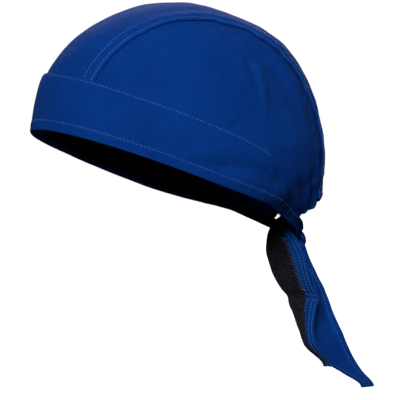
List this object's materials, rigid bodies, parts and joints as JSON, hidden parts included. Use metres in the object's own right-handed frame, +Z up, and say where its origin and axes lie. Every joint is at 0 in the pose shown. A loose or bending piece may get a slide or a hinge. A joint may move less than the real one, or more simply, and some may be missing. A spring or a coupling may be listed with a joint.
{
  "type": "head bandana",
  "caption": "Close-fitting tie-back cloth cap: a seamed centre panel and side panels over a wide brow band that runs back into ties half-knotted at the nape.",
  "frame": {"origin": "top of the hollow's inner face on the wearer's centre line, where the crown rests on the head", "axes": "+Z up, -Y the way the wearer faces, +X towards the wearer's left"},
  "size_m": [0.1592, 0.2546, 0.2734],
  "materials": {
    "blue_cotton": "matt twill weave",
    "dark_towelling": "matt looped pile"
  },
  "bodies": {
    "root": {"crown_centre_panel": "blue_cotton", "crown_side_panel_left": "blue_cotton", "crown_side_panel_right": "blue_cotton", "brow_band": "blue_cotton", "sweatband": "dark_towelling", "knot_left_turn": "blue_cotton", "knot_right_turn": "blue_cotton", "long_tail": "blue_cotton", "long_tail_lining": "dark_towelling", "short_tail": "blue_cotton", "short_tail_lining": "dark_towelling"}
  },
  "joints": []
}
